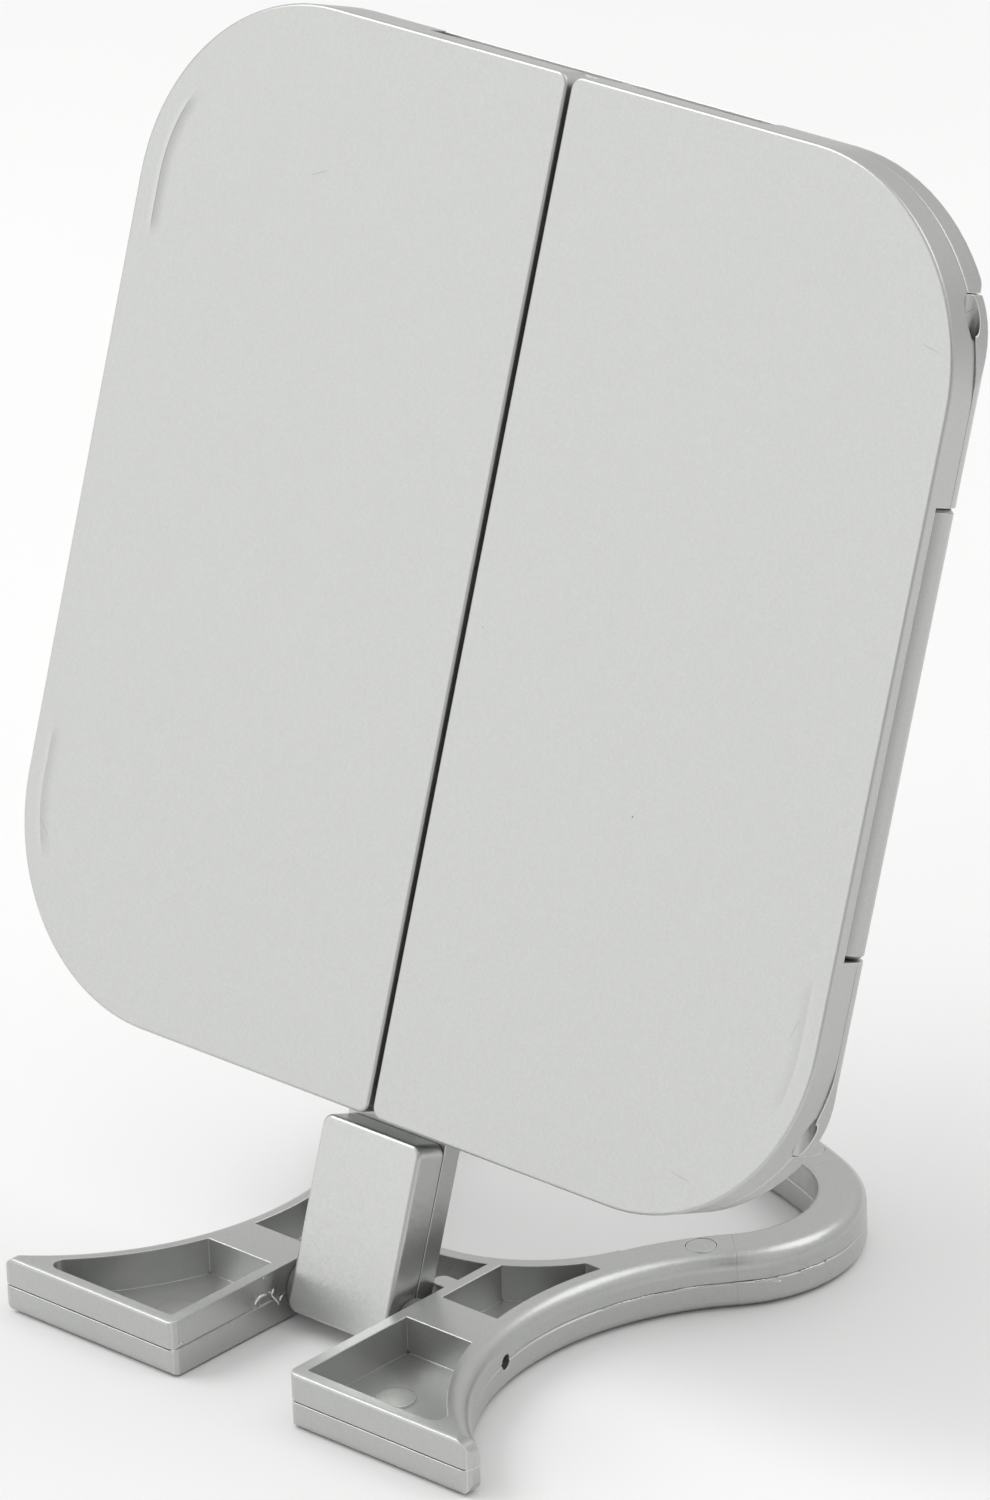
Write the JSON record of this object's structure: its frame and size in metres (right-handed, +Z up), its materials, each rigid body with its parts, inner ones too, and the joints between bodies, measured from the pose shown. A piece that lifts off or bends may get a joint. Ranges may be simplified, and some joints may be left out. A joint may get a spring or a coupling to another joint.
{
  "type": "trifold vanity mirror",
  "caption": "Tabletop mirror with two folding wing doors over a centre mirror, on a tilting neck and a flat looped stand.",
  "frame": {"origin": "on the table plane under the middle of the stand", "axes": "+X to the right seen from the front, -Y towards the user, +Z up; the head leans back on its stop with both doors closed"},
  "size_m": [0.178, 0.1244, 0.2064],
  "materials": {
    "silver_shell": "satin silver paint with a fine fleck",
    "mirror_bezel": "satin silver paint",
    "mirror_glass": "silvered glass",
    "backing_sheet": "foam sheet",
    "plated_steel": "zinc plated",
    "catch_steel": "plain",
    "magnet": "nickel plated",
    "pad_rubber": "matte",
    "washer_nylon": "matte"
  },
  "bodies": {
    "stand": {"stand_upper": "silver_shell", "stand_lower": "silver_shell", "stand_pads": "pad_rubber", "ring_plugs": "silver_shell", "ring_screws": "plated_steel", "stand_screws": "plated_steel", "tilt_pin": "plated_steel", "tilt_washers": "washer_nylon"},
    "head": {"housing": "silver_shell", "neck_cover": "silver_shell", "neck_screws": "plated_steel", "neck_sleeve": "plated_steel", "centre_frame": "mirror_bezel", "centre_glass": "mirror_glass", "centre_backing": "backing_sheet", "door_magnets": "magnet", "frame_screws": "plated_steel", "left_hinge_pins": "plated_steel", "right_hinge_pins": "plated_steel"},
    "left_door": {"left_door": "silver_shell", "left_frame": "mirror_bezel", "left_glass": "mirror_glass", "left_backing": "backing_sheet", "left_catches": "catch_steel"},
    "right_door": {"right_door": "silver_shell", "right_frame": "mirror_bezel", "right_glass": "mirror_glass", "right_backing": "backing_sheet", "right_catches": "catch_steel"}
  },
  "joints": [
    {"name": "head_tilt", "type": "hinge", "parent": "stand", "child": "head", "pos_m": [0, -0.03025, 0.00525], "axis": [1, 0, 0], "range_deg": [0, 109]},
    {"name": "left_door_hinge", "type": "hinge", "parent": "head", "child": "left_door", "pos_m": [-0.0854, 0.00772, 0.121], "axis": [0, -0.328, -0.9447], "range_deg": [0, 180]},
    {"name": "right_door_hinge", "type": "hinge", "parent": "head", "child": "right_door", "pos_m": [0.0854, 0.00772, 0.121], "axis": [0, 0.328, 0.9447], "range_deg": [0, 180]}
  ]
}
